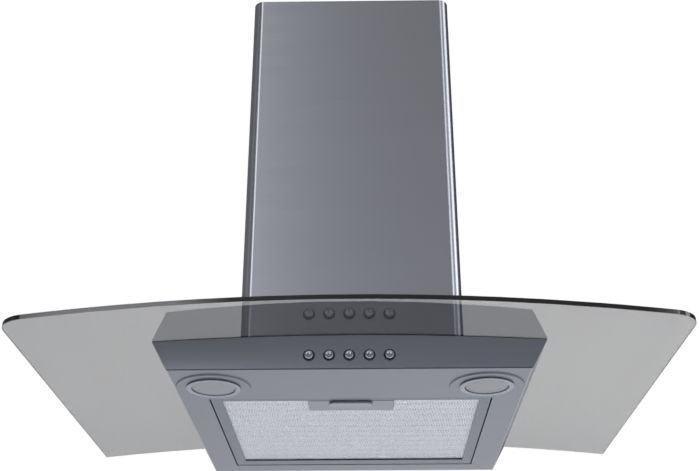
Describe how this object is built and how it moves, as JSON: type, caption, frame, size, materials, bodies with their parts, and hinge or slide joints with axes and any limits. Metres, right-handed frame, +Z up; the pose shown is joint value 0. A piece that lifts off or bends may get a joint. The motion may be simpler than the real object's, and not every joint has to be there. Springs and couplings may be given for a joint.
{
  "type": "chimney range hood",
  "caption": "Wall-mounted chimney range hood: curved glass canopy over a slim steel body with push buttons, lamps and a grease filter, and a telescopic flue.",
  "frame": {"origin": "middle of the wall bracket's screw holes, on the wall's surface", "axes": "+X to the right, +Y into the wall, +Z up; the buttons face -Y"},
  "size_m": [0.7, 0.52, 0.6272],
  "materials": {
    "smoke_glass": "clear polished float glass with a light grey tint",
    "foam_black": "matt closed-cell foam",
    "chrome_screw": "polished",
    "rubber_black": "matt",
    "zinc_steel": "zinc plated, dull",
    "brushed_steel_body": "fine brushed stainless steel",
    "brushed_steel_fascia": "fine brushed stainless steel",
    "brushed_steel_panel": "fine brushed stainless steel",
    "brushed_steel_flue": "fine brushed stainless steel",
    "black_plastic": "fine texture",
    "circuit_board": "satin lacquer",
    "button_chrome": "polished",
    "spring_steel": "bright wire",
    "filter_aluminium": "satin",
    "mesh_aluminium": "bright expanded mesh",
    "mesh_core_aluminium": "bright expanded mesh",
    "latch_plastic": "satin grey",
    "lamp_trim": "satin",
    "frosted_glass": "sand blasted",
    "reflector_bright": "bright anodised",
    "bulb_glass": "clear",
    "lamp_ceramic": "unglazed",
    "galvanised": "galvanised sheet",
    "impeller_black": "moulded",
    "motor_black": "satin enamel",
    "rotor_steel": "ground",
    "bronze": "sintered",
    "shaft_steel": "ground"
  },
  "bodies": {
    "canopy": {"canopy_glass": "smoke_glass", "glass_gasket": "foam_black", "glass_screws": "chrome_screw", "glass_grommets": "rubber_black", "glass_nuts": "zinc_steel", "canopy_shell": "brushed_steel_body", "front_fascia": "brushed_steel_fascia", "fascia_nuts": "zinc_steel", "underside_panel": "brushed_steel_panel", "switch_housing": "black_plastic", "switch_board": "circuit_board", "button_rings": "black_plastic", "button_spring_1": "spring_steel", "button_spring_2": "spring_steel", "button_spring_3": "spring_steel", "button_spring_4": "spring_steel", "button_spring_5": "spring_steel", "lamp_bezel_left": "lamp_trim", "lamp_bezel_right": "lamp_trim", "lamp_lens_left": "frosted_glass", "lamp_lens_right": "frosted_glass", "lamp_reflector_left": "reflector_bright", "lamp_reflector_right": "reflector_bright", "lamp_bulb_left": "bulb_glass", "lamp_bulb_right": "bulb_glass", "lamp_holder_left": "lamp_ceramic", "lamp_holder_right": "lamp_ceramic", "blower_box": "galvanised", "blower_screws": "zinc_steel", "scroll_left": "galvanised", "scroll_right": "galvanised", "inlet_ring": "black_plastic", "motor_body": "motor_black", "motor_end_cap": "galvanised", "motor_bearings": "bronze", "motor_screws": "zinc_steel", "outlet_collar": "black_plastic", "damper_pins": "zinc_steel", "terminal_box": "black_plastic", "cable_gland": "black_plastic", "flue_lower": "brushed_steel_flue", "wall_bracket": "zinc_steel"},
    "button_1": {"button_1": "button_chrome"},
    "button_2": {"button_2": "button_chrome"},
    "button_3": {"button_3": "button_chrome"},
    "button_4": {"button_4": "button_chrome"},
    "button_5": {"button_5": "button_chrome"},
    "filter": {"filter_frame": "filter_aluminium", "filter_mesh_lower": "mesh_aluminium", "filter_mesh_core": "mesh_core_aluminium", "filter_mesh_upper": "mesh_aluminium", "filter_latch_plate": "filter_aluminium", "latch_springs": "spring_steel"},
    "latch": {"filter_latch": "latch_plastic"},
    "rotor": {"impeller": "impeller_black", "motor_rotor": "rotor_steel", "motor_shaft": "shaft_steel"},
    "flap_left": {"damper_flap_left": "black_plastic"},
    "flap_right": {"damper_flap_right": "black_plastic"},
    "upper_flue": {"flue_upper": "brushed_steel_flue"}
  },
  "joints": [
    {"name": "button_1_press", "type": "slide", "parent": "canopy", "child": "button_1", "axis": [0, 1, 0], "range_m": [0, 0.003], "stiffness_N_per_m": 300, "springref_m": -0.002, "deforming": ["button_spring_1"]},
    {"name": "button_2_press", "type": "slide", "parent": "canopy", "child": "button_2", "axis": [0, 1, 0], "range_m": [0, 0.003], "stiffness_N_per_m": 300, "springref_m": -0.002, "deforming": ["button_spring_2"]},
    {"name": "button_3_press", "type": "slide", "parent": "canopy", "child": "button_3", "axis": [0, 1, 0], "range_m": [0, 0.003], "stiffness_N_per_m": 300, "springref_m": -0.002, "deforming": ["button_spring_3"]},
    {"name": "button_4_press", "type": "slide", "parent": "canopy", "child": "button_4", "axis": [0, 1, 0], "range_m": [0, 0.003], "stiffness_N_per_m": 300, "springref_m": -0.002, "deforming": ["button_spring_4"]},
    {"name": "button_5_press", "type": "slide", "parent": "canopy", "child": "button_5", "axis": [0, 1, 0], "range_m": [0, 0.003], "stiffness_N_per_m": 300, "springref_m": -0.002, "deforming": ["button_spring_5"]},
    {"name": "filter_swing", "type": "hinge", "parent": "canopy", "child": "filter", "pos_m": [0, -0.0372, -0.2411], "axis": [1, 0, 0], "range_deg": [0, 75]},
    {"name": "latch_slide", "type": "slide", "parent": "filter", "child": "latch", "axis": [0, 1, 0], "range_m": [0, 0.006], "stiffness_N_per_m": 300, "springref_m": -0.003, "deforming": ["latch_springs"]},
    {"name": "impeller_spin", "type": "hinge", "parent": "canopy", "child": "rotor", "pos_m": [0, -0.125, -0.096], "axis": [1, 0, 0], "continuous": true},
    {"name": "flap_left_open", "type": "hinge", "parent": "canopy", "child": "flap_left", "pos_m": [-0.0035, -0.083, 0.075], "axis": [0, 1, 0], "range_deg": [0, 80]},
    {"name": "flap_right_open", "type": "hinge", "parent": "canopy", "child": "flap_right", "pos_m": [0.0035, -0.083, 0.075], "axis": [0, -1, 0], "range_deg": [0, 80]},
    {"name": "flue_extend", "type": "slide", "parent": "canopy", "child": "upper_flue", "axis": [0, 0, 1], "range_m": [0, 0.35]}
  ]
}
